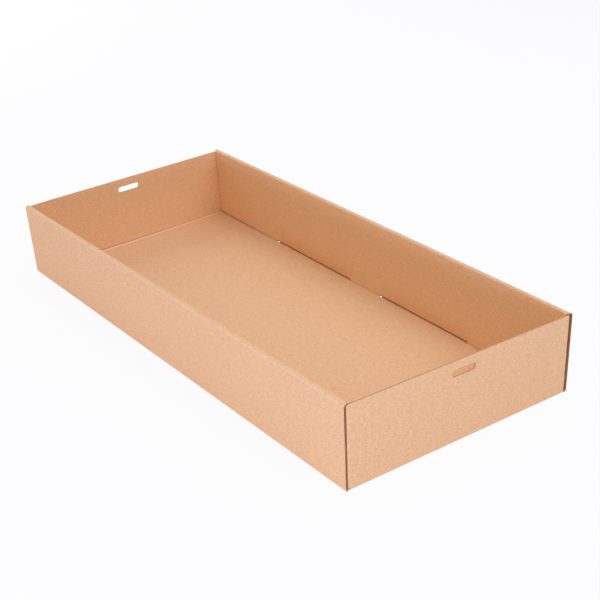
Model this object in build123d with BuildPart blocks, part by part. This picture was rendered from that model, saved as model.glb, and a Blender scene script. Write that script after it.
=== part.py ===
from build123d import *
import os

# Open-topped catering tray, folded from one die-cut sheet of fine-fluted corrugated board.
# The long walls are rolled over double and lock into the base; the end walls are single,
# and their corner flaps are trapped inside the double walls.
# Millimetres, +Z up, X along the tray, origin on the table under the middle of the base.

# The tray as it stands
length = 558.0  # over the outer faces of the end walls
width = 252.0  # over the outer faces of the long walls
height = 80.0  # from the table to the top of the rolled rims

# The board and its folds
board = 1.5  # thickness of the single-wall corrugated sheet
layer_play = 0.25  # air between two layers that are folded against each other
crease_share = 0.25  # inside radius of a crease, as a share of the board

# Corner flaps, at both ends of each end wall
flap_length = 60.0  # from the end wall's outer face to the flap's free edge
flap_corner = 12.0  # cut off each free corner, so that the long wall rolls over it
flap_slit = 0.5  # knife slit under the flap, above the base fold

# Inner panels of the long walls, with two lock tabs each
tab_length = 130.5  # along one tab
tab_gap = 52.0  # from one tab of a panel to the other
tab_root = 2.0  # from the panel's foot up to where a tab starts to bend back
tab_set_back = 1.0  # how far a tab is pressed back towards the long wall
tab_lift = 0.2  # from the table to a tab's tip
tab_corner = 1.0  # cut off each free corner of a tab
tab_notch = 1.25  # relief notch in the panel's foot, past each end of a tab
panel_relief = 1.4  # how far the foot rises from the tabs to the panel's ends

# Slots in the base that take the tabs
slot_end_play = 1.0  # past each end of the tab
slot_flare = 2.0  # further on at each end, where the slot turns towards the inside of the tray

# Finger slots in the end walls
finger_length = 27.0
finger_height = 7.0
finger_drop = 13.3  # from the top of the rims down to the slot's middle

# Worked out from the sizes above
mid = board / 2
crease_radius = crease_share * board
bend_radius = crease_radius + mid  # of a fold, at the middle of the board
fold_reach = crease_radius + board  # of a fold, at the board's outer face

half_length = length / 2
base_half_length = half_length - fold_reach
outer_y = width / 2 - mid
flap_y = outer_y - board - layer_play
inner_y = flap_y - board - layer_play

end_x = half_length - mid
end_top = height - board - layer_play
end_half_width = flap_y - bend_radius
flap_foot = fold_reach + flap_slit
flap_top = end_top - crease_radius
ear_top = flap_foot - flap_slit / 2
ear_half_width = flap_y + mid

panel_top = height - fold_reach
panel_foot = board + layer_play
root_z = panel_foot + tab_root
tab_y = inner_y + tab_set_back
tab_start = tab_gap / 2
tab_end = tab_start + tab_length
notch_start = tab_start - tab_notch
notch_end = tab_end + tab_notch
slot_start = tab_start - slot_end_play
slot_end = tab_end + slot_end_play
slot_far_y = tab_y + mid + layer_play
slot_near_y = tab_y - mid - layer_play
slot_tip_y = inner_y - mid

# Half of the base with its long wall: up the outer panel, over the rim and down inside
with BuildPart() as side:
    with BuildSketch(Plane.YZ):
        with BuildLine():
            FilletPolyline(
                (0, mid),
                (outer_y, mid),
                (outer_y, height - mid),
                (inner_y, height - mid),
                (inner_y, panel_top - board),
                radius=bend_radius,
            )
        trace(line_width=board)
    extrude(amount=half_length, both=True)
    # Room for an end wall below the rim, inside the outer panel
    with BuildSketch():
        with Locations((base_half_length, 0)):
            Rectangle(length, flap_y + mid, align=Align.MIN)
        mirror(about=Plane.YZ)
    extrude(amount=height - board, mode=Mode.SUBTRACT)
    # Slots for the lock tabs, with both ends turned towards the inside of the tray
    with BuildSketch():
        with BuildLine():
            Polyline(
                (slot_start, slot_far_y),
                (slot_end, slot_far_y),
                (slot_end + slot_flare, slot_tip_y),
                (slot_end, slot_near_y),
                (slot_start, slot_near_y),
                (slot_start - slot_flare, slot_tip_y),
                close=True,
            )
        make_face()
        mirror(about=Plane.YZ)
    extrude(amount=board, mode=Mode.SUBTRACT)
    # Inner panel, with a foot that is notched for the lock tabs and rises towards both ends
    with BuildSketch(Plane.XZ.offset(-inner_y)):
        with BuildLine():
            Polyline(
                (0, panel_top),
                (base_half_length, panel_top),
                (base_half_length, panel_foot + panel_relief),
                (notch_end, panel_foot),
                (notch_end, root_z),
                (notch_start, root_z),
                (notch_start, panel_foot),
                (0, panel_foot),
                close=True,
            )
        make_face()
        mirror(about=Plane.YZ)
    extrude(amount=mid, both=True)
    # Lock tabs, pressed back from the panel's face and down through the slots
    with BuildSketch(Plane.YZ.offset(tab_start), Plane.YZ.offset(-tab_end)):
        with BuildLine():
            Polyline(
                (inner_y - mid, root_z),
                (inner_y + mid, root_z),
                (tab_y + mid, panel_foot),
                (tab_y + mid, tab_lift),
                (tab_y - mid, tab_lift),
                (tab_y - mid, panel_foot),
                close=True,
            )
        make_face()
    extrude(amount=tab_length)
    tab_corners = edges(Select.LAST).filter_by(Axis.Y).group_by(Axis.Z)[0]
    chamfer(tab_corners, length=tab_corner)

# End wall: a single panel up from the base, with a corner flap folded back at each end
with BuildPart() as end_wall:
    with BuildSketch(Plane.XZ):
        with BuildLine():
            FilletPolyline(
                (base_half_length - board, mid),
                (end_x, mid),
                (end_x, end_top),
                radius=bend_radius,
            )
        trace(line_width=board)
    extrude(amount=end_half_width, both=True)
    # Ears at the foot of the wall, under the flaps, reaching out to the long walls
    with BuildSketch(Plane.XZ):
        with BuildLine():
            FilletPolyline(
                (base_half_length - board, mid),
                (end_x, mid),
                (end_x, ear_top),
                radius=bend_radius,
            )
        trace(line_width=board)
    extrude(amount=ear_half_width, both=True)
    with BuildSketch(Plane.XY.offset(flap_foot)):
        with BuildLine():
            FilletPolyline(
                (end_x, end_half_width - board),
                (end_x, flap_y),
                (half_length - flap_length, flap_y),
                radius=bend_radius,
            )
        trace(line_width=board)
        mirror(about=Plane.XZ)
    extrude(amount=flap_top - flap_foot)
    free_corners = edges().filter_by(Axis.Y).group_by(Axis.X)[0]
    chamfer(free_corners, length=flap_corner)
    # Finger slot with round ends, high in the wall
    with BuildSketch(Plane.YZ.offset(end_x)):
        with Locations((0, height - finger_drop)):
            SlotOverall(finger_length, finger_height)
    extrude(amount=board, both=True, mode=Mode.SUBTRACT)

# The whole sheet
with BuildPart() as tray:
    add(side.part)
    mirror(side.part, about=Plane.XZ)
    add(end_wall.part)
    mirror(end_wall.part, about=Plane.YZ)

tray.part.label = "tray"

os.makedirs("parts", exist_ok=True)
export_step(tray.part, "parts/tray.step")
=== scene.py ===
"""Dress the cardboard tray box: one die-cut sheet of kraft corrugated board, folded up.

The sheet is meshed flat, as the die cuts it, and every point is then carried round the folds.
So the skin is one closed mesh, with real folds, slots, lock tabs and open flutes, and each
point still knows its place on the flat sheet, which is where the board's patterns are drawn.
"""

from __future__ import annotations

import logging
import math
from dataclasses import dataclass, field
from enum import Enum
from typing import Any

import bmesh
import bpy
from mathutils import Matrix, Vector
from mathutils.geometry import delaunay_2d_cdt

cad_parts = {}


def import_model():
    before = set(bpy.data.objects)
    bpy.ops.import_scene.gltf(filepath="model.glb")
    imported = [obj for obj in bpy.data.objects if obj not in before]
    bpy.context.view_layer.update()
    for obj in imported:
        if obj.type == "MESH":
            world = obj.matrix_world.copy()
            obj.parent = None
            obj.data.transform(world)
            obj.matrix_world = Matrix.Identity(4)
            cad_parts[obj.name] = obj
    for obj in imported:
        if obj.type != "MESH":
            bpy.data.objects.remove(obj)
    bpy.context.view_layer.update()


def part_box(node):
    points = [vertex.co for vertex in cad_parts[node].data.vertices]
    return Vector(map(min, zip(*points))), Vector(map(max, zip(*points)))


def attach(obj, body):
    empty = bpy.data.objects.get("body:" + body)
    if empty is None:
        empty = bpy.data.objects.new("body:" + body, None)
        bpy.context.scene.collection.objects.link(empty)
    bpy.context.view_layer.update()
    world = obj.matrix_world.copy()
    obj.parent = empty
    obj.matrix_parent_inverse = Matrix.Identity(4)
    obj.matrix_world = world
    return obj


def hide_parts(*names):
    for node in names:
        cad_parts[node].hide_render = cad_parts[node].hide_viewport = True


LOG = logging.getLogger("tray")
MM = 0.001  # the sheet is worked out in millimetres and built in metres
SHEET = "sheet"  # each point's place on the flat sheet: along, across, out of the sheet
FOLD_PAINT = "fold_paint"  # paint at the folds for each point: above 0 pale, for stretched paper and painted highlight, below 0 painted shade in the corner at the end walls' foot
TOUCH = 1e-3  # points of the flat sheet closer than this are one place

Flat = tuple[float, float]  # a point of the flat sheet, or of a section
Pair = tuple[float, float]  # two sizes that belong together
Point = tuple[float, float, float]
Tree = bpy.types.NodeTree
Socket = bpy.types.NodeSocket
Vert = bmesh.types.BMVert


class Skin(Enum):
    """Material slots of the sheet, in their order on the mesh."""

    LINER = 0
    CUT = 1
    # open flutes and their hollows: fluting paper, darkened further as painted shade
    FLUTE = 2
    SHADED_BETWEEN = 3  # faces that lie between two layers, and the lock tabs, drawn darker as painted shade


class Cut(Enum):
    """How a cut edge shows the board's inside."""

    SHUT = 0
    ALONG = 1
    ACROSS = 2


def linear(colour: str) -> tuple[float, float, float, float]:
    """Turn an sRGB hex colour into linear light.

    Args:
        colour: six hex digits after a hash mark.

    Returns:
        Red, green, blue and an alpha of one.
    """
    parts = [int(colour[i : i + 2], 16) / 255 for i in (1, 3, 5)]
    light = [p / 12.92 if p <= 0.04045 else ((p + 0.055) / 1.055) ** 2.4 for p in parts]
    return (light[0], light[1], light[2], 1.0)


def add_node(
    tree: Tree,
    kind: str,
    settings: dict[str, Any] | None = None,
    sockets: dict[str | int, Any] | None = None,
) -> bpy.types.Node:
    """Add a node, set its properties, and fill or link its inputs.

    Args:
        tree: node tree that gets the node.
        kind: the node's type name.
        settings: properties of the node, by name.
        sockets: inputs by name or index, each a constant or another node's output.

    Returns:
        The new node.
    """
    node = tree.nodes.new(kind)
    for name, value in (settings or {}).items():
        setattr(node, name, value)
    for key, value in (sockets or {}).items():
        if isinstance(value, Socket):
            tree.links.new(value, node.inputs[key])
        else:
            node.inputs[key].default_value = value
    return node


def maths(tree: Tree, operation: str, *values: Any, clamp: bool = False) -> Socket:
    """Add a sum of numbers.

    Args:
        tree: node tree that gets the node.
        operation: which sum.
        values: constants or other nodes' outputs, in order.
        clamp: whether the result is kept between 0 and 1.

    Returns:
        The result.
    """
    settings = {"operation": operation, "use_clamp": clamp}
    return add_node(tree, "ShaderNodeMath", settings, dict(enumerate(values))).outputs[0]


def vectors(tree: Tree, operation: str, a: Any, b: Any) -> Socket:
    """Add a sum of two vectors.

    Args:
        tree: node tree that gets the node.
        operation: which sum.
        a: the first vector, a constant or another node's output.
        b: the second.

    Returns:
        The result, a number where the sum gives one.
    """
    outputs = add_node(tree, "ShaderNodeVectorMath", {"operation": operation}, {0: a, 1: b}).outputs
    return outputs["Value" if operation in ("DOT_PRODUCT", "DISTANCE") else "Vector"]


def blend(tree: Tree, share: Any, under: Any, over: Any) -> Socket:
    """Add a mix of two colours.

    Args:
        tree: node tree that gets the node.
        share: how much of the upper colour shows, 0 to 1.
        under: the lower colour, a constant or another node's output.
        over: the upper colour.

    Returns:
        The mixed colour.
    """
    sockets = {"Factor": share, 6: under, 7: over}
    return add_node(tree, "ShaderNodeMix", {"data_type": "RGBA"}, sockets).outputs[2]


def noise(tree: Tree, place: Socket, size: float, **sockets: float) -> Socket:
    """Add a cloudy pattern.

    Args:
        tree: node tree that gets the node.
        place: where each point lies.
        size: how large a cloud is, in the units of the place.
        sockets: the node's other inputs, by name.

    Returns:
        The pattern, about 0 to 1.
    """
    inputs = {"Vector": place, "Scale": 1 / size, **sockets}
    return add_node(tree, "ShaderNodeTexNoise", {}, inputs).outputs["Fac"]


def empty_tree(owner: bpy.types.Material | bpy.types.World) -> Tree:
    """Give a material or a surround a node tree with nothing in it yet."""
    owner.use_nodes = True
    owner.node_tree.nodes.clear()
    return owner.node_tree


def add_object(name: str, data: bpy.types.ID) -> bpy.types.Object:
    """Put an object with its data into the scene."""
    added = bpy.data.objects.new(name, data)
    bpy.context.collection.objects.link(added)
    return added


@dataclass(frozen=True)
class Board:
    """Fine-fluted single-wall board, in millimetres."""

    thickness: float = 1.5
    liner: float = 0.22
    medium: float = 0.20
    flute_pitch: float = 3.3
    crease_radius: float = 0.375
    layer_play: float = 0.25
    open_depth: float = 2.0  # how far the flutes are hollow behind a cut across them
    fray_shares: Pair = (0.95, 0.9)  # of a hollow's height and depth that a fully frayed liner shuts

    @property
    def half(self) -> float:
        """Half of the thickness."""
        return self.thickness / 2

    @property
    def bend(self) -> float:
        """Radius of a fold at the middle of the board."""
        return self.crease_radius + self.half

    @property
    def reach(self) -> float:
        """Radius of a fold at the board's outer face."""
        return self.crease_radius + self.thickness

    @property
    def arc(self) -> float:
        """Length of flat board that goes into a right-angled fold."""
        return self.bend * math.pi / 2

    @property
    def roof(self) -> float:
        """Height of a liner's inner face over the middle of the board."""
        return self.half - self.liner

    def along_cut(self, fray: float) -> list[Flat]:
        """Section of a cut along the flutes: two liners, and the medium that slopes between them.

        Args:
            fray: how far the outer liner is pressed in over the hollow, 0 to 1.

        Returns:
            Depth behind the cut and level over the board's middle, from the outer face in.
        """
        web = self.medium / 2
        slope = self.flute_pitch / 4
        low, shallow = (fray * share for share in self.fray_shares)
        lid = self.roof - low * (self.roof - web)
        return [
            (0.0, self.half),
            (0.0, lid),
            (slope * (1 - shallow), lid),
            (0.0, web),
            (0.0, -web),
            (slope, self.roof - self.medium),
            (3 * slope, -self.roof),
            (0.0, -self.roof),
            (0.0, -self.half),
        ]

    def across_cut(self, place: float) -> list[Flat]:
        """Section of a cut across the flutes: two liners and the waved medium between.

        Args:
            place: how far along the cut, from a crest of the medium.

        Returns:
            Depth behind the cut and level over the board's middle, from the outer face in.
        """
        closed = 0.05
        web = self.medium / 2
        wave = (self.roof - web) * math.cos(2 * math.pi * place / self.flute_pitch)
        over = self.roof if self.roof - wave - web < closed else wave + web
        under = -self.roof if wave - web + self.roof < closed else wave - web
        hollows = [[(0.0, a), (self.open_depth, a), (self.open_depth, b), (0.0, b)]
                   for a, b in ((self.roof, over), (under, -self.roof))]
        return [(0.0, self.half), *hollows[0], *hollows[1], (0.0, -self.half)]


@dataclass(frozen=True)
class FoldPath:
    """Line of the board's middle through right-angled folds, all turning the same way."""

    start: Flat
    runs: tuple[float, ...]
    radius: float

    def at(self, distance: float, out: float) -> Flat:
        """Find a point of the board beside the path.

        Args:
            distance: how far along the path, from its start.
            out: how far from the board's middle, towards its outer face.

        Returns:
            The point, in the plane of the path.
        """
        here = Vector(self.start)
        ahead = Vector((1.0, 0.0))
        arc = self.radius * math.pi / 2
        for run in self.runs:
            right = Vector((ahead.y, -ahead.x))
            if distance <= run:
                break
            here += ahead * run
            distance -= run
            centre = here - right * self.radius
            if distance <= arc:
                turn = distance / self.radius
                spoke = right * math.cos(turn) + ahead * math.sin(turn)
                return tuple(centre + spoke * (self.radius + out))
            here = centre + ahead * self.radius
            ahead, right = -right, ahead
            distance -= arc
        return tuple(here + ahead * distance + right * out)


@dataclass(frozen=True)
class Band:
    """A band of tone across a bead, with its middle and reach as shares of the bead's width."""

    middle: float
    reach: float
    gain: float
    most: float

    def at(self, share: float) -> float:
        """Strength of the tone at a place across the bead."""
        return min(self.most, self.gain * max(0.0, 1 - abs(share - self.middle) / self.reach))


@dataclass
class TrayBlank:
    """The flat, die-cut sheet and the way it folds, in millimetres.

    On the flat sheet the first number runs along the tray and the second across it, from the
    middle of the base. The flutes run across the tray.
    """

    length: float
    width: float
    height: float
    board: Board = field(default_factory=Board)
    flap_length: float = 60.0
    flap_corner: float = 12.0
    flap_slit: float = 0.5
    tab_length: float = 130.5
    tab_gap: float = 52.0
    tab_root: float = 2.0  # from an inner panel's foot up to where a tab starts to bend back
    tab_set_back: float = 1.0
    tab_lift: float = 0.2
    tab_corner: float = 1.0
    tab_notch: float = 1.5
    tab_slide: float = 1.0  # the tabs, notches and slots each sit a little off their true place
    notch_slide: float = -0.4
    panel_relief: float = 1.8
    panel_lean: Pair = (1.75, 0.55)  # how far the inner panels' feet stand in: middle, more per 100 mm
    slot_end_play: float = 4.0
    slot_eyes: Pair = (7.0, 2.5)  # length of the wider eyes at the far and near end of a slot
    slot_eye_play: float = 1.2  # how much wider an eye is on the wall's side
    slot_slide: float = -2.0
    finger_length: float = 27.0
    finger_height: float = 6.65
    finger_drop: float = 13.2
    finger_slide: Pair = (-0.55, 0.9)  # how far the far finger slot sits off its place, up and across
    bead_width: float = 4.4  # the rounded bead that a score along the flutes raises on the base
    bead_taper: float = 1.25  # how much narrower the bead gets over each 100 mm across the tray
    bead_height: float = 0.45
    # Painted highlight along the bead's crest, and painted shade in the corner at the wall's foot.
    bead_highlight: Band = Band(0.55, 0.6, 2.2, 1.2)
    bead_shade: Band = Band(-0.22, 0.32, 1.0, 1.0)
    base_tone: Pair = (0.4, 1.3)  # how pale each kind of fold is drawn, partly stretched paper and partly painted highlight, and over how much of it
    rim_tone: Pair = (0.45, 0.7)
    lip_tone: Pair = (0.25, 1.0)
    flap_tone: Pair = (0.5, 0.9)
    near_pinch: tuple[Pair, Pair] = ((0.2, 0.4), (0.6, 0.3))  # each side's gap: foot, gain to the top
    pinch_fade: float = 6.0  # from the near end wall, over which its pinch dies out

    def __post_init__(self) -> None:
        """Work out the sheet's fold lines from its sizes."""
        board = self.board
        self.half_length = self.length / 2
        self.base_u = self.half_length - board.reach
        self.base_v = self.width / 2 - board.reach
        self.outer_y = self.width / 2 - board.half
        self.flap_y = self.outer_y - board.thickness - board.layer_play
        self.inner_y = self.flap_y - board.thickness - board.layer_play
        self.end_x = self.half_length - board.half
        self.end_v = self.flap_y - board.bend
        self.wall_u = self.base_u + board.arc
        end_top = self.height - board.thickness - board.layer_play
        self.top_u = self.wall_u + end_top - board.reach
        self.flap_top_u = self.top_u - board.crease_radius
        self.flap_foot_u = self.wall_u + self.flap_slit
        self.ear_v = self.base_v - board.layer_play / 2
        self.flap_v = self.end_v + board.arc
        self.flap_end_v = self.flap_v + self.flap_length - board.reach
        wall_run = self.height - 2 * board.reach
        rim_run = self.outer_y - self.inner_y - 2 * board.bend
        self.outer_v = self.base_v + board.arc
        self.rim_v = self.outer_v + wall_run
        self.top_v = self.rim_v + board.arc
        self.lip_v = self.top_v + rim_run
        self.inner_v = self.lip_v + board.arc
        panel_top = self.height - board.reach
        panel_foot = board.thickness + board.layer_play
        self.foot_v = self.inner_v + panel_top - panel_foot
        self.tip_v = self.inner_v + panel_top - self.tab_lift
        self.root_v = self.foot_v - self.tab_root
        self.tab_start = self.tab_gap / 2
        self.tab_end = self.tab_start + self.tab_length
        self.notch_start = self.tab_start - self.tab_notch
        self.notch_end = self.tab_end + self.tab_notch
        tab_y = self.inner_y + self.tab_set_back
        self.slot_near_v = tab_y - board.half - board.layer_play
        self.slot_far_v = tab_y + board.half + board.layer_play
        self.slot_tip_v = self.inner_y - board.half
        self.slot_start = self.tab_start - self.slot_end_play
        self.slot_end = self.tab_end + self.slot_end_play
        self.finger_u = self.wall_u + self.height - self.finger_drop - board.reach
        self.side_path = FoldPath((0.0, board.half), (self.base_v, wall_run, rim_run, math.inf), board.bend)
        self.end_path = FoldPath((0.0, board.half), (self.base_u, math.inf), board.bend)
        self.flap_path = FoldPath((0.0, -self.end_x), (self.end_v, math.inf), board.bend)

    def quarter_outline(self, end: int) -> list[Flat]:
        """Outline of one quarter of the sheet, from an end wall's top to an inner panel's foot.

        Args:
            end: 1 for the near end of the tray, -1 for the far end.

        Returns:
            The corners, in order, as if at the near end.
        """
        lip_cut = self.lip_v + self.board.arc / 2
        corner = self.flap_corner
        tab_start, tab_end = (u + end * self.tab_slide for u in (self.tab_start, self.tab_end))
        notch_start, notch_end = (u + end * self.notch_slide for u in (self.notch_start, self.notch_end))
        return [
            (self.top_u, 0.0),
            (self.top_u, self.end_v),
            (self.flap_top_u, self.end_v),
            (self.flap_top_u, self.flap_end_v - corner),
            (self.flap_top_u - corner, self.flap_end_v),
            (self.flap_foot_u + corner, self.flap_end_v),
            (self.flap_foot_u, self.flap_end_v - corner),
            (self.flap_foot_u, self.end_v),
            (self.wall_u, self.end_v),
            (self.wall_u, self.ear_v),
            (self.base_u, self.ear_v),
            (self.base_u, self.base_v),
            (self.half_length, self.base_v),
            (self.half_length, self.outer_v),
            (self.half_length, lip_cut),
            (self.base_u, lip_cut),
            (self.base_u, self.foot_v - self.panel_relief),
            (notch_end, self.foot_v),
            (notch_end, self.root_v),
            (tab_end, self.root_v),
            (tab_end, self.tip_v - self.tab_corner),
            (tab_end - self.tab_corner, self.tip_v),
            (tab_start + self.tab_corner, self.tip_v),
            (tab_start, self.tip_v - self.tab_corner),
            (tab_start, self.root_v),
            (notch_start, self.root_v),
            (notch_start, self.foot_v),
            (0.0, self.foot_v),
        ]

    def outline(self) -> list[Flat]:
        """Closed outline of the whole sheet, by its corners."""
        right, left = self.quarter_outline(1), self.quarter_outline(-1)
        loop = list(right)
        loop += [(-u, v) for u, v in reversed(left[:-1])]
        loop += [(-u, -v) for u, v in left[1:]]
        loop += [(u, -v) for u, v in reversed(right[1:-1])]
        return loop

    def holes(self) -> list[list[Flat]]:
        """Closed outlines of the four floor slots and the two finger slots."""
        radius = self.finger_height / 2
        straight = self.finger_length / 2 - radius
        steps = 10
        finger = []
        for side in (1, -1):
            for k in range(steps + 1):
                turn = math.pi * k / steps
                across = side * (straight + radius * math.sin(turn))
                finger.append((self.finger_u + side * radius * math.cos(turn), across))
        loops = []
        for end in (1, -1):
            loops += [[(u, side * (v - self.lean(u))) for u, v in self.slot(end)] for side in (1, -1)]
            up, side = self.finger_slide if end < 0 else (0.0, 0.0)
            loops.append([(end * (u + up), v + side) for u, v in finger])
        return loops

    def slot(self, end: int) -> list[Flat]:
        """Closed outline of a floor slot of an inner panel that stands upright.

        Args:
            end: 1 for the near end of the tray, -1 for the far end.

        Returns:
            The corners, in order.
        """
        far, near = sorted(end * u + self.slot_slide for u in (self.slot_start, self.slot_end))
        low, high = far + self.slot_eyes[0], near - self.slot_eyes[1]
        eye_v = self.slot_far_v + self.slot_eye_play
        back = [(far, eye_v), (low, eye_v), (low, self.slot_far_v), (high, self.slot_far_v),
                (high, eye_v), (near, eye_v)]
        front = [(near, self.slot_tip_v), (high, self.slot_tip_v), (high, self.slot_near_v),
                 (low, self.slot_near_v), (low, self.slot_tip_v), (far, self.slot_tip_v)]
        return back + front

    def lean(self, u: float) -> float:
        """How far an inner panel's foot stands in at a place along the tray."""
        middle, more = self.panel_lean
        return middle + more * u / 100

    def press(self, u: float, v: float) -> float:
        """How far a lock tab is pressed back at a point: 0 off the tabs, 1 from the foot down."""
        along = abs(u - self.tab_slide)
        if not self.tab_start - TOUCH < along < self.tab_end + TOUCH:
            return 0.0
        return min(1.0, max(0.0, (abs(v) - self.root_v) / self.tab_root))

    def fold(self, u: float, v: float, out: float) -> Point:
        """Carry a point of the flat sheet round the folds.

        Args:
            u: place along the flat sheet.
            v: place across the flat sheet.
            out: how far from the board's middle, towards its outer face.

        Returns:
            The point on the folded tray.
        """
        along, across = abs(u), abs(v)
        sign_u, sign_v = math.copysign(1, u), math.copysign(1, v)
        on_end = along > self.base_u and (across < self.ear_v + TOUCH or along > self.half_length + TOUCH)
        if not on_end:
            y, z = self.side_path.at(across, out)
            drop = max(0.0, (across - self.inner_v) / (self.foot_v - self.inner_v))
            y += self.tab_set_back * self.press(u, v) - self.lean(u) * drop
            inner = min(1.0, max(0.0, (across - self.lip_v) / self.board.arc))
            return (u, sign_v * y - inner * self.pinch(u, v, z), z)
        x, z = self.end_path.at(along, out)
        y = across
        if across > self.end_v and along > self.wall_u + TOUCH:
            y, back = self.flap_path.at(across, out)
            x = -back
        return (sign_u * x, sign_v * y - self.pinch(sign_u * x, v, z), z)

    def pinch(self, x: float, v: float, z: float) -> float:
        """How far the near end wall is drawn in from the long walls at a point, towards the near side.

        Args:
            x: place along the tray.
            v: place across the flat sheet.
            z: height.

        Returns:
            The shift, which fades along the corner flaps and the inner panels that they press on.
        """
        held = min(1.0, max(0.0, 1 + (x - self.end_x) / self.pinch_fade))
        if x < 0:
            return 0.0
        near, far = (foot + gain * z / self.height for foot, gain in self.near_pinch)
        side = min(1.0, max(0.0, 0.5 + 0.5 * v / self.end_v))
        return held * (far * side - near * (1 - side))

    def bead_place(self, u: float, v: float) -> float:
        """How far across the bead beside an end fold a point lies: 0 at the fold, 1 at the base."""
        width = self.bead_width - self.bead_taper * v / 100
        return (self.base_u + self.board.arc / 2 - abs(u)) / width

    def bead(self, u: float, v: float, out: float) -> Point:
        """Fold a point, with the bead that stands up inside the base's end folds.

        Args:
            u: place along the flat sheet.
            v: place across the flat sheet.
            out: how far from the board's middle, towards its outer face.

        Returns:
            The point on the folded tray.
        """
        x, y, z = self.fold(u, v, out)
        share = self.bead_place(u, v)
        if out < -self.board.roof and abs(v) < self.ear_v + TOUCH and 0 < share < 1:
            z += self.bead_height * 4 * share * (1 - share)
        return (x, y, z)

    def skin(self, cell: list[Flat], side: int) -> Skin:
        """Tell what a cell of the sheet shows on one of its faces.

        Args:
            cell: its corners.
            side: 1 for the sheet's outer face, -1 for its inner face.

        Returns:
            The lock tabs and the faces shut in between two layers get a darker kraft as painted shade, the
            rest is plain liner.
        """
        along = max(abs(u) for u, _ in cell)
        low, high = (pick(abs(v) for _, v in cell) for pick in (min, max))
        on_flap = along > self.half_length + TOUCH and low > self.end_v + self.board.arc / 2 - TOUCH
        on_wall = along < self.half_length + TOUCH and self.outer_v - TOUCH < low < high < self.rim_v + TOUCH
        on_tab = max(self.press(u, v) for u, v in cell) > 0
        # tabs seen down the floor slots and faces in the gaps between layers are painted dark as shade
        between = on_tab or (on_flap if side > 0 else on_wall)
        return Skin.SHADED_BETWEEN if between else Skin.LINER

    def fold_paint(self, u: float, v: float, out: float) -> float:
        """Paint at the folds for a point: stretched paper, painted highlight and painted shade.

        Args:
            u: place along the flat sheet.
            v: place across the flat sheet.
            out: how far from the board's middle, towards its outer face.

        Returns:
            Above 0 where it is drawn pale, for stretched paper and painted highlight, below 0 where painted
            shade darkens the corner.
        """
        along, across = abs(u), abs(v)
        half_arc = self.board.arc / 2
        if out < 0:
            share = self.bead_place(u, v)
            if across > self.ear_v + TOUCH or along > self.top_u:
                return 0.0
            # the bead's crest gets a painted highlight, the corner at the wall's foot a painted shade
            return self.bead_highlight.at(share) - self.bead_shade.at(share)
        # outer folds drawn pale: partly stretched paper, partly painted highlight
        folds = []
        if along <= self.half_length + TOUCH:
            starts = (self.base_v, self.rim_v, self.lip_v)
            folds += [(across, *fold) for fold in zip(starts, (self.base_tone, self.rim_tone, self.lip_tone))]
        if across <= self.ear_v:
            folds.append((along, self.base_u, self.base_tone))
        if along > self.half_length:
            folds.append((across, self.end_v, self.flap_tone))
        return max([pale * max(0.0, 1 - abs(place - start - half_arc) / (spread * half_arc))
                    for place, start, (pale, spread) in folds] + [0.0])


@dataclass(frozen=True)
class Corner:
    """How far a corner of the tray stands off true, along, across and up, in millimetres."""

    foot: Point
    lean: Point

    def shift(self, rise: float) -> Vector:
        """Shift at a height, as a share of the tray's height."""
        return Vector(self.foot) + Vector(self.lean) * rise


@dataclass(frozen=True)
class RimDrop:
    """How far a rolled rim is pressed down, at its left and right ends, in millimetres."""

    outer: Pair
    lip: Pair
    growth: float  # power by which the drop changes from the left end to the right
    slope: float = 3.5  # width of the strip along the outer edge that slants
    rim: float = 5.0  # width of the whole rim
    fade: float = 12.0  # past the rim, over which the drop dies out

    def at(self, along: float, inward: float) -> float:
        """Find the drop at a place on the rim's level.

        Args:
            along: share of the tray's length, from the left.
            inward: how far inside the long wall's outer face.

        Returns:
            The drop.
        """
        share = max(0.0, along) ** self.growth
        outer, lip = (left + (right - left) * share for left, right in (self.outer, self.lip))
        slant = min(1.0, max(0.0, inward / self.slope))
        held = min(1.0, max(0.0, 1 - (inward - self.rim) / self.fade))
        return (outer + (lip - outer) * slant) * held


@dataclass(frozen=True)
class Settling:
    """How a hand-folded tray stands: its corners are a millimetre or three off true."""

    length: float
    width: float
    height: float
    left_near: Corner = Corner((1.8, 0.7, 0.0), (-1.0, -2.8, -0.5))
    right_near: Corner = Corner((-0.8, 0.4, 0.0), (-2.4, 2.2, 1.4))
    right_far: Corner = Corner((2.7, -1.5, 0.0), (0.8, 2.8, 0.3))
    left_far: Corner = Corner((-2.0, -0.6, 0.0), (0.0, -1.1, -0.8))
    near_rim: RimDrop = RimDrop((1.4, 2.1), (0.5, 0.0), 1.0)
    far_rim: RimDrop = RimDrop((0.0, 1.1), (0.0, 0.0), 4.0)
    foot_bow: float = 2.8  # how far the foot of the far end wall stands in at its middle
    bow_floor: float = 60.0  # the bow dies out over this much of the base
    bow_wall: float = 40.0  # and over this much of the wall

    def move(self, point: Point) -> Vector:
        """Shift a point of the folded tray.

        Args:
            point: the point on a tray that stands true.

        Returns:
            The point on the tray as it stands.
        """
        x, y, z = point
        along, across = x / self.length + 0.5, y / self.width + 0.5
        rise = max(0.0, z / self.height)
        near = self.left_near.shift(rise).lerp(self.right_near.shift(rise), along)
        far = self.left_far.shift(rise).lerp(self.right_far.shift(rise), along)
        middle = max(0.0, 1 - (2 * y / self.width) ** 2)
        low = max(0.0, 1 - z / self.bow_wall)
        end = max(0.0, 1 - (x + self.length / 2) / self.bow_floor)
        rim = self.near_rim if y < 0 else self.far_rim
        drop = rise * rim.at(along, self.width / 2 - abs(y))
        bow = Vector((self.foot_bow * middle * low * end, 0.0, -drop))
        return Vector(point) + near.lerp(far, across) + bow


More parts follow.
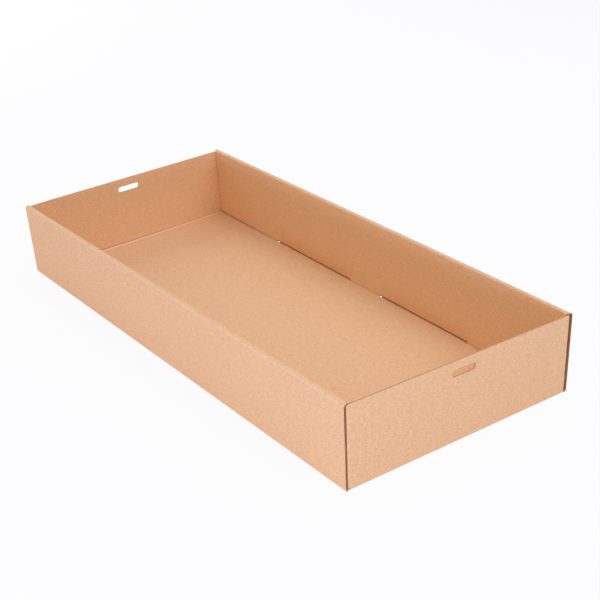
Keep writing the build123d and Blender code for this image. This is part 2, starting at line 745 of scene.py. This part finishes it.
class FlatCells:
    """Cuts the flat sheet into a grid of cells along guide lines."""

    def __init__(self, blank: TrayBlank) -> None:
        """Start with no lines.

        Args:
            blank: the sheet to cut up.
        """
        self.blank = blank
        self.points: list[Vector] = []
        self.lines: list[tuple[int, int]] = []

    def add_line(self, a: Flat, b: Flat) -> None:
        """Add a straight cut between two points."""
        start = len(self.points)
        self.points += [Vector(a), Vector(b)]
        self.lines.append((start, start + 1))

    def add_loop(self, loop: list[Flat]) -> None:
        """Add a closed outline."""
        start = len(self.points)
        self.points += [Vector(p) for p in loop]
        count = len(loop)
        self.lines += [(start + k, start + (k + 1) % count) for k in range(count)]

    def add_guides(self) -> None:
        """Add the grid: close lines round the folds and wide ones over the panels."""
        blank = self.blank
        arc = blank.board.arc
        support = 0.6
        fold_steps = 6
        pitch = 21.0
        clear = 8.0  # grid lines keep this far from the notches beside a tab
        slot_room = 1.0  # and this far from the floor slots

        def spread(low: float, high: float) -> list[float]:
            """Even steps from low to high, about a grid pitch each."""
            count = max(1, round((high - low) / pitch))
            return [low + (high - low) * k / count for k in range(count + 1)]

        def turn(start: float) -> list[float]:
            """Steps through a fold."""
            return [start + arc * k / fold_steps for k in range(fold_steps + 1)]

        across = spread(0.0, blank.slot_tip_v - blank.lean(blank.half_length) - slot_room)
        end_across = [v for v in across if v < blank.end_v]
        radius = blank.finger_height / 2
        end_across += [blank.finger_length / 2 - radius, blank.finger_length / 2]
        across += [blank.base_v - support] + turn(blank.base_v) + [blank.outer_v + support]
        across += spread(blank.outer_v, blank.rim_v)[1:-1] + [blank.rim_v - support]
        across += turn(blank.rim_v) + turn(blank.lip_v) + [blank.inner_v + support]
        across += spread(blank.inner_v, blank.root_v)[1:] + [blank.foot_v]
        along = spread(0.0, blank.notch_start - clear)
        along += spread(blank.tab_start + clear, blank.tab_end - clear)
        bead_steps = 10
        bead = blank.bead_width + blank.bead_taper * blank.end_v / 100
        along += spread(blank.notch_end + clear, blank.base_u - bead)
        fold_along = [blank.base_u - bead * k / bead_steps for k in range(1, bead_steps)]
        fold_along += turn(blank.base_u)
        wall_along = [blank.wall_u + support * k for k in (1, 2)]
        wall_along += spread(blank.wall_u + 3 * support, blank.finger_u - radius)
        wall_along += [blank.finger_u, blank.finger_u + radius, blank.top_u - support]
        flap_across = [blank.end_v - support] + turn(blank.end_v) + [blank.flap_v + support]
        flap_across += [blank.flap_v + blank.pinch_fade - blank.board.bend]
        flap_across += spread(blank.flap_v, blank.flap_end_v - blank.flap_corner)[1:]
        flap_along = [blank.flap_foot_u + blank.flap_corner, blank.flap_top_u - blank.flap_corner]
        for side in (1, -1):
            for v in across:
                self.add_line((-blank.half_length, side * v), (blank.half_length, side * v))
            for u in along + fold_along:
                self.add_line((side * u, -blank.tip_v), (side * u, blank.tip_v))
            for u in fold_along:
                self.add_line((side * u, -blank.ear_v), (side * u, blank.ear_v))
            for u in wall_along:
                self.add_line((side * u, -blank.end_v), (side * u, blank.end_v))
            self.add_line((side * blank.half_length, -blank.tip_v), (side * blank.half_length, blank.tip_v))
            for end in (1, -1):
                edge_v = side * blank.end_v
                self.add_line((end * blank.base_u, edge_v), (end * blank.wall_u, edge_v))
                for v in end_across:
                    self.add_line((end * blank.base_u, side * v), (end * blank.top_u, side * v))
                for v in flap_across:
                    self.add_line((end * blank.wall_u, side * v), (end * blank.top_u, side * v))
                for u in wall_along + flap_along:
                    self.add_line((end * u, side * blank.end_v), (end * u, side * blank.flap_end_v))

    def cells(self) -> tuple[list[Flat], list[list[int]]]:
        """Cut the sheet up.

        Returns:
            The flat points, and the cells of the sheet as lists of them, all turning left.
        """
        loops = [self.blank.outline()] + self.blank.holes()
        valid_cells, weld = 4, 1e-4  # the cells between the lines, cut into valid faces
        found = delaunay_2d_cdt(self.points, self.lines, [], valid_cells, weld)
        points = [(p.x, p.y) for p in found[0]]
        kept = []
        for cell in found[2]:
            count = len(cell)
            middle = (sum(points[k][0] for k in cell) / count, sum(points[k][1] for k in cell) / count)
            if sum(inside(middle, loop) for loop in loops) == 1 and inside(middle, loops[0]):
                kept.append(list(cell))
        return points, kept


def inside(point: Flat, loop: list[Flat]) -> bool:
    """Tell whether a point lies inside a closed outline.

    Args:
        point: the point.
        loop: the outline's corners, in order.

    Returns:
        True if it does.
    """
    x, y = point
    odd = False
    for (ax, ay), (bx, by) in zip(loop, loop[1:] + loop[:1]):
        if (ay > y) != (by > y) and x < (bx - ax) * (y - ay) / (by - ay) + ax:
            odd = not odd
    return odd


class TraySheet:
    """The folded sheet as one closed mesh, with the board's inside open along its cut ends."""

    samples = 8  # points to each flute of a cut across them, two of which straddle each crest
    fray_step = 1.3  # points along a cut that follows the flutes, in millimetres
    scuffs = ((39.5, 7.0, 1.0), (63.0, 1.6, 0.6), (30.0, 1.4, 0.3))  # height, reach and depth on a frayed cut
    ripple = (5.1, 2.3, 0.25)  # a scuff's roughness: two rates over its height, and a depth
    precision = 1e4  # steps to a millimetre, within which two points are one vertex

    def __init__(self, blank: TrayBlank, settling: Settling) -> None:
        """Take the sheet's sizes.

        Args:
            blank: the flat sheet and its folds.
            settling: how the folded tray leans.
        """
        self.blank = blank
        self.settling = settling
        self.mesh = bmesh.new()
        self.place = self.mesh.verts.layers.float_vector.new(SHEET)
        # Per-vertex fold paint: stretched paper and painted highlight above 0, painted shade below 0.
        self.fold_light = self.mesh.verts.layers.float.new(FOLD_PAINT)
        self.made: dict[tuple[int, int, int], Vert] = {}

    def vertex(self, u: float, v: float, out: float) -> Vert:
        """Fetch or make the folded vertex at a place in the flat board.

        Args:
            u: place along the flat sheet.
            v: place across the flat sheet.
            out: how far from the board's middle, towards its outer face.

        Returns:
            The vertex.
        """
        key = tuple(round(size * self.precision) for size in (u, v, out))
        if key not in self.made:
            vert = self.mesh.verts.new(self.settling.move(self.blank.bead(u, v, out)) * MM)
            vert[self.place] = (u, v, out)
            vert[self.fold_light] = self.blank.fold_paint(u, v, out)
            self.made[key] = vert
        return self.made[key]

    def add_face(self, verts: list[Vert], skin: Skin, smooth: bool) -> None:
        """Add a face, unless its corners fall together or it would lie back to back with another.

        Args:
            verts: its corners, in order.
            skin: its material slot.
            smooth: whether it is shaded smooth.
        """
        corners = [v for k, v in enumerate(verts) if v is not verts[k - 1]]
        if len(set(corners)) < 3:
            return
        twin = self.mesh.faces.get(corners)
        if twin:
            self.mesh.faces.remove(twin)
            return
        face = self.mesh.faces.new(corners)
        face.material_index = skin.value
        face.smooth = smooth

    def cut_kind(self, a: Flat, b: Flat) -> Cut:
        """Tell how a straight cut between two points shows the board's inside.

        Args:
            a: one end of the cut.
            b: its other end.

        Returns:
            The kind: the long walls' ends follow the flutes, and the tabs' tips cross them.
        """
        upright = min(abs(a[1]), abs(b[1])) > self.blank.outer_v - TOUCH
        if upright and all(abs(abs(p[0]) - self.blank.half_length) < TOUCH for p in (a, b)):
            return Cut.ALONG
        if all(abs(abs(p[1]) - self.blank.tip_v) < TOUCH for p in (a, b)):
            return Cut.ACROSS
        return Cut.SHUT

    def fray(self, point: Flat) -> float:
        """How far the outer liner is scuffed in over the hollow at a point of a cut, 0 to 1."""
        u, v = point
        if u < 0 or v > 0:
            return 0.0
        rise = abs(v) - self.blank.outer_v + self.blank.board.reach
        fast, slow, depth = self.ripple
        rough = 1 - depth + depth * math.sin(fast * rise) * math.cos(slow * rise)
        return rough * max(size * max(0.0, 1 - ((rise - at) / reach) ** 4) for at, reach, size in self.scuffs)

    def section(self, point: Flat, kind: Cut) -> list[Vert]:
        """Vertices of the board's section at a point of a cut, from its outer face in.

        Args:
            point: the point on the flat sheet.
            kind: how the cut shows the board's inside.

        Returns:
            The vertices, in order.
        """
        board = self.blank.board
        u, v = point
        if kind is Cut.ALONG:
            places = board.along_cut(self.fray(point))
            return [self.vertex(u - math.copysign(depth, u), v, out) for depth, out in places]
        if kind is Cut.ACROSS:
            places = board.across_cut(u)
            return [self.vertex(u, v - math.copysign(depth, v), out) for depth, out in places]
        return [self.vertex(u, v, board.half), self.vertex(u, v, -board.half)]

    def surface(self, point: Flat, section: list[Vert]) -> list[int]:
        """Places in a section that lie on the cut itself, not behind it."""
        flat = [vert[self.place] for vert in section]
        return [k for k, p in enumerate(flat) if math.dist(p[:2], point) < TOUCH]

    def open_cut(self, run: list[Flat], kind: Cut) -> None:
        """Close a cut edge with its liners' ends, the medium and the hollows between.

        Args:
            run: the points of the cut, in order, with the sheet on their left.
            kind: how the cut shows the board's inside.
        """
        sections = [self.section(point, kind) for point in run]
        faces = [self.surface(point, section) for point, section in zip(run, sections)]
        last = len(run) - 2
        for k in range(last + 1):
            here, there = sections[k], sections[k + 1]
            shown = faces[k] if k in (0, last) else range(len(here))
            for a, b in zip(shown, shown[1:]):
                # hollows behind the cut take the fluting paper finish, darkened further as painted shade
                skin = Skin.CUT if a in faces[k] and b in faces[k] else Skin.FLUTE
                self.add_face([here[a], here[b], there[b], there[a]], skin, False)
        for k, step in ((1, -1), (last, 1)):
            for a, b in zip(faces[k], faces[k][1:]):
                self.add_face(sections[k][a : b + 1][::step], Skin.FLUTE, False)

    def marks(self, a: Flat, b: Flat, kind: Cut) -> list[Flat]:
        """Points that an open cut needs between its two corners.

        Args:
            a: the first corner.
            b: the second corner.
            kind: how the cut shows the board's inside.

        Returns:
            The points, in order: even steps of the flutes, or of a frayed edge.
        """
        if kind is Cut.SHUT:
            return []
        axis = 0 if kind is Cut.ACROSS else 1
        step = self.blank.board.flute_pitch / self.samples if kind is Cut.ACROSS else self.fray_step
        margin = 0.2 * step  # no point comes closer than this to a corner
        low, high = sorted((a[axis], b[axis]))
        first = math.ceil((low + margin) / step - 0.5)
        places = []
        while (first + 0.5) * step < high - margin:
            places.append((first + 0.5) * step)
            first += 1
        if a[axis] > b[axis]:
            places.reverse()
        return [(place, a[1]) if axis == 0 else (a[0], place) for place in places]

    def sampled(self, loop: list[Flat]) -> list[Flat]:
        """An outline with its open cuts divided."""
        found = []
        for a, b in zip(loop, loop[1:] + loop[:1]):
            found += [a] + self.marks(a, b, self.cut_kind(a, b))
        return found

    def build(self) -> bpy.types.Object:
        """Mesh the sheet, fold it and close its cut edges.

        Returns:
            The folded sheet, in metres.
        """
        cutter = FlatCells(self.blank)
        cutter.add_loop(self.sampled(self.blank.outline()))
        for hole in self.blank.holes():
            cutter.add_loop(hole)
        cutter.add_guides()
        points, cells = cutter.cells()
        half = self.blank.board.half
        edges = {(a, b) for cell in cells for a, b in zip(cell, cell[1:] + cell[:1])}
        for cell in cells:
            flat = [points[k] for k in cell]
            self.add_face([self.vertex(*p, -half) for p in flat], self.blank.skin(flat, -1), True)
            self.add_face([self.vertex(*p, half) for p in reversed(flat)], self.blank.skin(flat, 1), True)
        self.close_rims(points, {a: b for a, b in edges if (b, a) not in edges})
        stray = [edge for edge in self.mesh.edges if not edge.link_faces]
        bmesh.ops.delete(self.mesh, geom=stray, context="EDGES")
        loose = [vert for vert in self.mesh.verts if not vert.link_faces]
        bmesh.ops.delete(self.mesh, geom=loose, context="VERTS")
        bmesh.ops.recalc_face_normals(self.mesh, faces=self.mesh.faces[:])
        for edge in self.mesh.edges:
            edge.smooth = all(face.smooth for face in edge.link_faces)
        self.mesh.normal_update()
        data = bpy.data.meshes.new("tray_sheet")
        self.mesh.to_mesh(data)
        self.mesh.free()
        return add_object("tray_sheet", data)

    def close_rims(self, points: list[Flat], rims: dict[int, int]) -> None:
        """Close the board along every cut.

        Args:
            points: the flat points.
            rims: for each point of a cut, the next one.
        """
        starts = {b: a for a, b in rims.items()}
        kinds = {a: self.cut_kind(points[a], points[b]) for a, b in rims.items()}
        for a, b in rims.items():
            if kinds[a] is Cut.SHUT:
                before, after = kinds[starts[a]], kinds[b]
                verts = self.edge_of(points[a], before) + self.edge_of(points[b], after)[::-1]
                self.add_face(verts, Skin.CUT, False)
            elif kinds[starts[a]] is not kinds[a]:
                run = [a]
                while kinds[run[-1]] is kinds[a]:
                    run.append(rims[run[-1]])
                self.open_cut([points[k] for k in run], kinds[a])

    def edge_of(self, point: Flat, kind: Cut) -> list[Vert]:
        """Vertices of a cut's section that lie on the cut itself."""
        section = self.section(point, kind)
        return [section[k] for k in self.surface(point, section)]


@dataclass(frozen=True)
class Mark:
    """A scuff on the tray's inside, between two places on the flat sheet, in millimetres."""

    start: Flat
    end: Flat
    width: float
    tone: str
    strength: float

    def over(self, tree: Tree, place: Socket, colour: Socket) -> Socket:
        """Draw the mark over a colour.

        Args:
            tree: the material's node tree.
            place: each point's place on the flat sheet.
            colour: the colour without the mark.

        Returns:
            The colour with it.
        """
        start = Vector((*self.start, 0.0))
        run = Vector((*self.end, 0.0)) - start
        off = vectors(tree, "SUBTRACT", vectors(tree, "MULTIPLY", place, (1.0, 1.0, 0.0)), start)
        along = vectors(tree, "DOT_PRODUCT", off, run / run.length_squared)
        share = maths(tree, "ADD", along, 0.0, clamp=True)
        gap = vectors(tree, "DISTANCE", off, vectors(tree, "MULTIPLY", share, run))
        edge = {0: gap, 1: self.width / 2, 2: self.width / 4, 3: 0.0, 4: self.strength}
        near = add_node(tree, "ShaderNodeMapRange", {}, edge).outputs[0]
        level = add_node(tree, "ShaderNodeSeparateXYZ", {}, {0: place}).outputs[2]
        near = maths(tree, "MULTIPLY", near, maths(tree, "LESS_THAN", level, 0.0))
        return blend(tree, near, colour, linear(self.tone))


@dataclass(frozen=True)
class Kraft:
    """Kraft liner board: unbleached wood pulp, pressed matt on the paper machine.

    It looks warm brown and dull, with a cloudy formation a few millimetres across, a finer
    mottle, and short fibres that mostly lie across the tray. The fibres are drawn coarser than
    the real ones, so that they show. Folds are drawn pale, for stretched paper and painted highlight, and a
    painted shade darkens the corner at the end walls' foot.
    """

    pale: str = "#FACF9B"
    deep: str = "#E2AE76"
    # The pale colour below stands for stretched paper at the folds and for painted highlight on the bead; the
    # dark one is painted shade in the corner at the end walls' foot.
    stretched_highlight: str = "#FFE4BC"
    corner_shade: str = "#B4773F"
    cloud_mm: float = 6.0
    mottle_mm: float = 1.5
    fibre_mm: Pair = (0.8, 4.0)
    side_gap: float = 40.0  # keeps the patterns of the sheet's two faces apart
    mottle_share: float = 0.55
    cloud_share: float = 0.2
    fibre_share: float = 0.25
    tone_range: Pair = (0.33, 0.67)  # where the blended pattern is deep, and where it is pale
    stretched_highlight_share: float = 0.55
    corner_shade_share: float = 0.6
    fibre_bump: float = 0.25
    fibre_height: float = 0.0002  # in metres
    roughness: float = 0.8
    specular: float = 0.35
    marks: tuple[Mark, ...] = (
        Mark((143.8, -35.9), (141.9, -31.1), 1.1, "#9C6B45", 0.45),
        Mark((-219.5, 49.9), (-218.7, 50.3), 1.8, "#9C6B45", 0.7),
        Mark((-336.3, -98.8), (-344.1, -89.7), 1.0, "#FFE4D6", 0.5),
    )

    def material(self) -> bpy.types.Material:
        """Make the liner's material.

        Returns:
            The material, drawn in the flat sheet's millimetres.
        """
        material = bpy.data.materials.new("kraft_liner")
        tree = empty_tree(material)
        place = add_node(tree, "ShaderNodeAttribute", {"attribute_name": SHEET}).outputs["Vector"]
        sides = vectors(tree, "MULTIPLY", place, (1.0, 1.0, self.side_gap))
        laid = vectors(tree, "MULTIPLY", sides, (*(1 / size for size in self.fibre_mm), 1.0))
        cloud = noise(tree, sides, self.cloud_mm, Detail=3.0, Roughness=0.6)
        mottle = noise(tree, sides, self.mottle_mm, Detail=2.0, Roughness=0.5)
        fibre = noise(tree, laid, 1.0, Detail=2.0, Distortion=0.6)
        pattern = maths(tree, "MULTIPLY", mottle, self.mottle_share)
        pattern = maths(tree, "MULTIPLY_ADD", cloud, self.cloud_share, pattern)
        pattern = maths(tree, "MULTIPLY_ADD", fibre, self.fibre_share, pattern)
        tones = add_node(tree, "ShaderNodeValToRGB", {}, {"Fac": pattern})
        for stop, position, colour in zip(tones.color_ramp.elements, self.tone_range, (self.deep, self.pale)):
            stop.position = position
            stop.color = linear(colour)
        shaded = tones.outputs["Color"]
        for mark in self.marks:
            shaded = mark.over(tree, place, shaded)
        # Fold paint: pale for stretched paper and painted highlight, dark for painted shade in the end walls'
        # corner.
        fold_light = add_node(tree, "ShaderNodeAttribute", {"attribute_name": FOLD_PAINT}).outputs["Fac"]
        for weight, colour in ((self.stretched_highlight_share, self.stretched_highlight), (-self.corner_shade_share, self.corner_shade)):
            share = maths(tree, "MULTIPLY", fold_light, weight, clamp=True)
            shaded = blend(tree, share, shaded, linear(colour))
        grain = {"Strength": self.fibre_bump, "Distance": self.fibre_height, "Height": fibre}
        sockets = {
            "Base Color": shaded,
            "Roughness": self.roughness,
            "IOR": 1.5,
            "Specular IOR Level": self.specular,
            "Normal": add_node(tree, "ShaderNodeBump", {}, grain).outputs["Normal"],
        }
        shader = add_node(tree, "ShaderNodeBsdfPrincipled", {}, sockets)
        add_node(tree, "ShaderNodeOutputMaterial", {}, {"Surface": shader.outputs[0]})
        return material


@dataclass(frozen=True)
class RawBoard:
    """Plain board with a fine grain, darker than the liner: knife-cut ends of the liners, fluting paper
    darkened further as painted shade, and kraft darkened as painted shade between layers.
    """

    name: str
    tone: str
    deep: str
    grain_mm: float = 1.1
    roughness: float = 0.95

    def material(self) -> bpy.types.Material:
        """Make the cut board's material.

        Returns:
            The material.
        """
        material = bpy.data.materials.new(self.name)
        tree = empty_tree(material)
        place = add_node(tree, "ShaderNodeAttribute", {"attribute_name": SHEET}).outputs["Vector"]
        grain = noise(tree, place, self.grain_mm, Detail=2.0)
        shaded = blend(tree, grain, linear(self.deep), linear(self.tone))
        sockets = {"Base Color": shaded, "Roughness": self.roughness, "IOR": 1.5}
        shader = add_node(tree, "ShaderNodeBsdfPrincipled", {}, sockets)
        add_node(tree, "ShaderNodeOutputMaterial", {}, {"Surface": shader.outputs[0]})
        return material


@dataclass(frozen=True)
class Lamp:
    """A softbox: place and aim in metres, width and height, power in watts, and its tint."""

    name: str
    place: Point
    aim: Point
    size: Pair
    watts: float
    tint: str

    def build(self) -> None:
        """Make the lamp."""
        data = bpy.data.lights.new(self.name, "AREA")
        data.shape = "RECTANGLE"
        data.size, data.size_y = self.size
        data.energy = self.watts
        data.color = linear(self.tint)[:3]
        lamp = add_object(self.name, data)
        lamp.visible_camera = False
        lamp.location = self.place
        lamp.rotation_euler = (Vector(self.aim) - Vector(self.place)).to_track_quat("-Z", "Y").to_euler()


@dataclass(frozen=True)
class Studio:
    """White sweep, a ring of soft lamps, a low strip in front and a pale surround."""

    floor_size: float = 12.0
    floor_tone: str = "#F4F4F4"
    floor_white_share: float = 0.9  # of what the camera sees of the floor; the rest keeps the shadow
    lamps: tuple[Lamp, ...] = (
        Lamp("back_box", (0.0, 0.9, 1.4), (0.0, 0.0, 0.0), (1.4, 1.4), 9.9, "#D6D6FF"),
        Lamp("right_box", (1.2, 0.0, 1.2), (0.0, 0.0, 0.0), (1.4, 1.4), 13.6, "#E8EBFF"),
        Lamp("left_box", (-1.4, 0.0, 0.7), (0.0, 0.0, 0.0), (1.4, 1.4), 10.0, "#FCFCFF"),
        Lamp("front_box", (0.0, -1.2, 1.2), (0.0, 0.0, 0.0), (1.4, 1.4), 4.0, "#FFFFFE"),
        Lamp("low_strip", (0.5, -1.0, 0.08), (0.0, 0.0, 0.08), (2.0, 0.14), 7.8, "#CECEFF"),
    )
    ambient: float = 0.27
    ambient_tint: str = "#E9E9FF"

    def build(self) -> None:
        """Make the floor, the lamps and the surround."""
        self.floor()
        for lamp in self.lamps:
            lamp.build()
        self.surround()

    def floor(self) -> None:
        """A plain floor, white to the camera, that keeps the tray's shadow."""
        half = self.floor_size / 2
        data = bpy.data.meshes.new("floor")
        corners = [(-half, -half, 0), (half, -half, 0), (half, half, 0), (-half, half, 0)]
        data.from_pydata(corners, [], [(0, 1, 2, 3)])
        floor = add_object("floor", data)
        material = bpy.data.materials.new("white_sweep")
        tree = empty_tree(material)
        matt = add_node(tree, "ShaderNodeBsdfDiffuse", {}, {"Color": linear(self.floor_tone)})
        white = add_node(tree, "ShaderNodeEmission", {}, {"Strength": 1.0})
        share = maths(tree, "MULTIPLY", self.looked_at(tree), self.floor_white_share)
        mix = add_node(tree, "ShaderNodeMixShader", {}, {0: share, 1: matt.outputs[0], 2: white.outputs[0]})
        add_node(tree, "ShaderNodeOutputMaterial", {}, {"Surface": mix.outputs[0]})
        data.materials.append(material)

    def looked_at(self, tree: Tree) -> Socket:
        """Tell what the camera sees, straight, in a gloss or through glass, from what only lights.

        Args:
            tree: node tree that gets the nodes.

        Returns:
            One where it is seen, and zero where it only lights.
        """
        path = add_node(tree, "ShaderNodeLightPath").outputs
        seen = path["Is Camera Ray"]
        for ray in ("Is Glossy Ray", "Is Transmission Ray"):
            seen = maths(tree, "MAXIMUM", seen, path[ray])
        return seen

    def surround(self) -> None:
        """Even light from all round, and white behind the tray."""
        world = bpy.data.worlds.new("surround")
        bpy.context.scene.world = world
        tree = empty_tree(world)
        seen = self.looked_at(tree)
        kinds = ((self.ambient_tint, self.ambient), ("#FFFFFF", 1.0))
        dim, white = (
            add_node(tree, "ShaderNodeBackground", {}, {"Color": linear(tint), "Strength": level})
            for tint, level in kinds
        )
        mix = add_node(tree, "ShaderNodeMixShader", {}, {0: seen, 1: dim.outputs[0], 2: white.outputs[0]})
        add_node(tree, "ShaderNodeOutputWorld", {}, {"Surface": mix.outputs[0]})


@dataclass(frozen=True)
class ViewCamera:
    """Camera above one corner of the tray, looking down its length."""

    eye: Point = (1004.9, -673.8, 634.9)
    ahead: Point = (-0.73026, 0.51432, -0.44965)
    right: Point = (0.59313, 0.80392, -0.04375)
    focal_px: float = 1352.5
    image_px: float = 600.0
    sensor_mm: float = 36.0

    def build(self) -> None:
        """Make the camera and use it."""
        data = bpy.data.cameras.new("camera")
        data.sensor_width = self.sensor_mm
        data.sensor_fit = "HORIZONTAL"
        data.lens = self.focal_px / self.image_px * self.sensor_mm
        camera = add_object("camera", data)
        back = -Vector(self.ahead).normalized()
        right = Vector(self.right)
        right = (right - back * right.dot(back)).normalized()
        axes = Matrix((right, back.cross(right), back)).transposed().to_4x4()
        axes.translation = Vector(self.eye) * MM
        camera.matrix_world = axes
        bpy.context.scene.camera = camera


def main() -> None:
    """Load the frame, fold and dress the tray, and light it."""
    logging.basicConfig(level=logging.INFO)
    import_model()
    low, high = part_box("tray")
    sizes = [(high[k] - low[k]) / MM for k in range(3)]
    blank = TrayBlank(*sizes)
    sheet = TraySheet(blank, Settling(*sizes)).build()
    finishes = (
        Kraft().material(),
        RawBoard("cut_board", "#DCA26A", "#C08850").material(),
        # fluting paper, its colour darkened further as painted shade in the open flutes
        RawBoard("fluting_paper_and_shade", "#8E4E0E", "#6E3806").material(),
        # kraft darkened as painted shade, for the lock tabs and the faces between layers
        RawBoard("shade_painted_kraft", "#C67A30", "#9E5E1E").material(),
    )
    for material in finishes:
        sheet.data.materials.append(material)
    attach(sheet, "root")
    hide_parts("tray")
    LOG.info("%s: %d faces", sheet.name, len(sheet.data.polygons))
    Studio().build()
    ViewCamera().build()
    bpy.context.scene.view_settings.view_transform = "Standard"


if __name__ == "__main__":
    main()
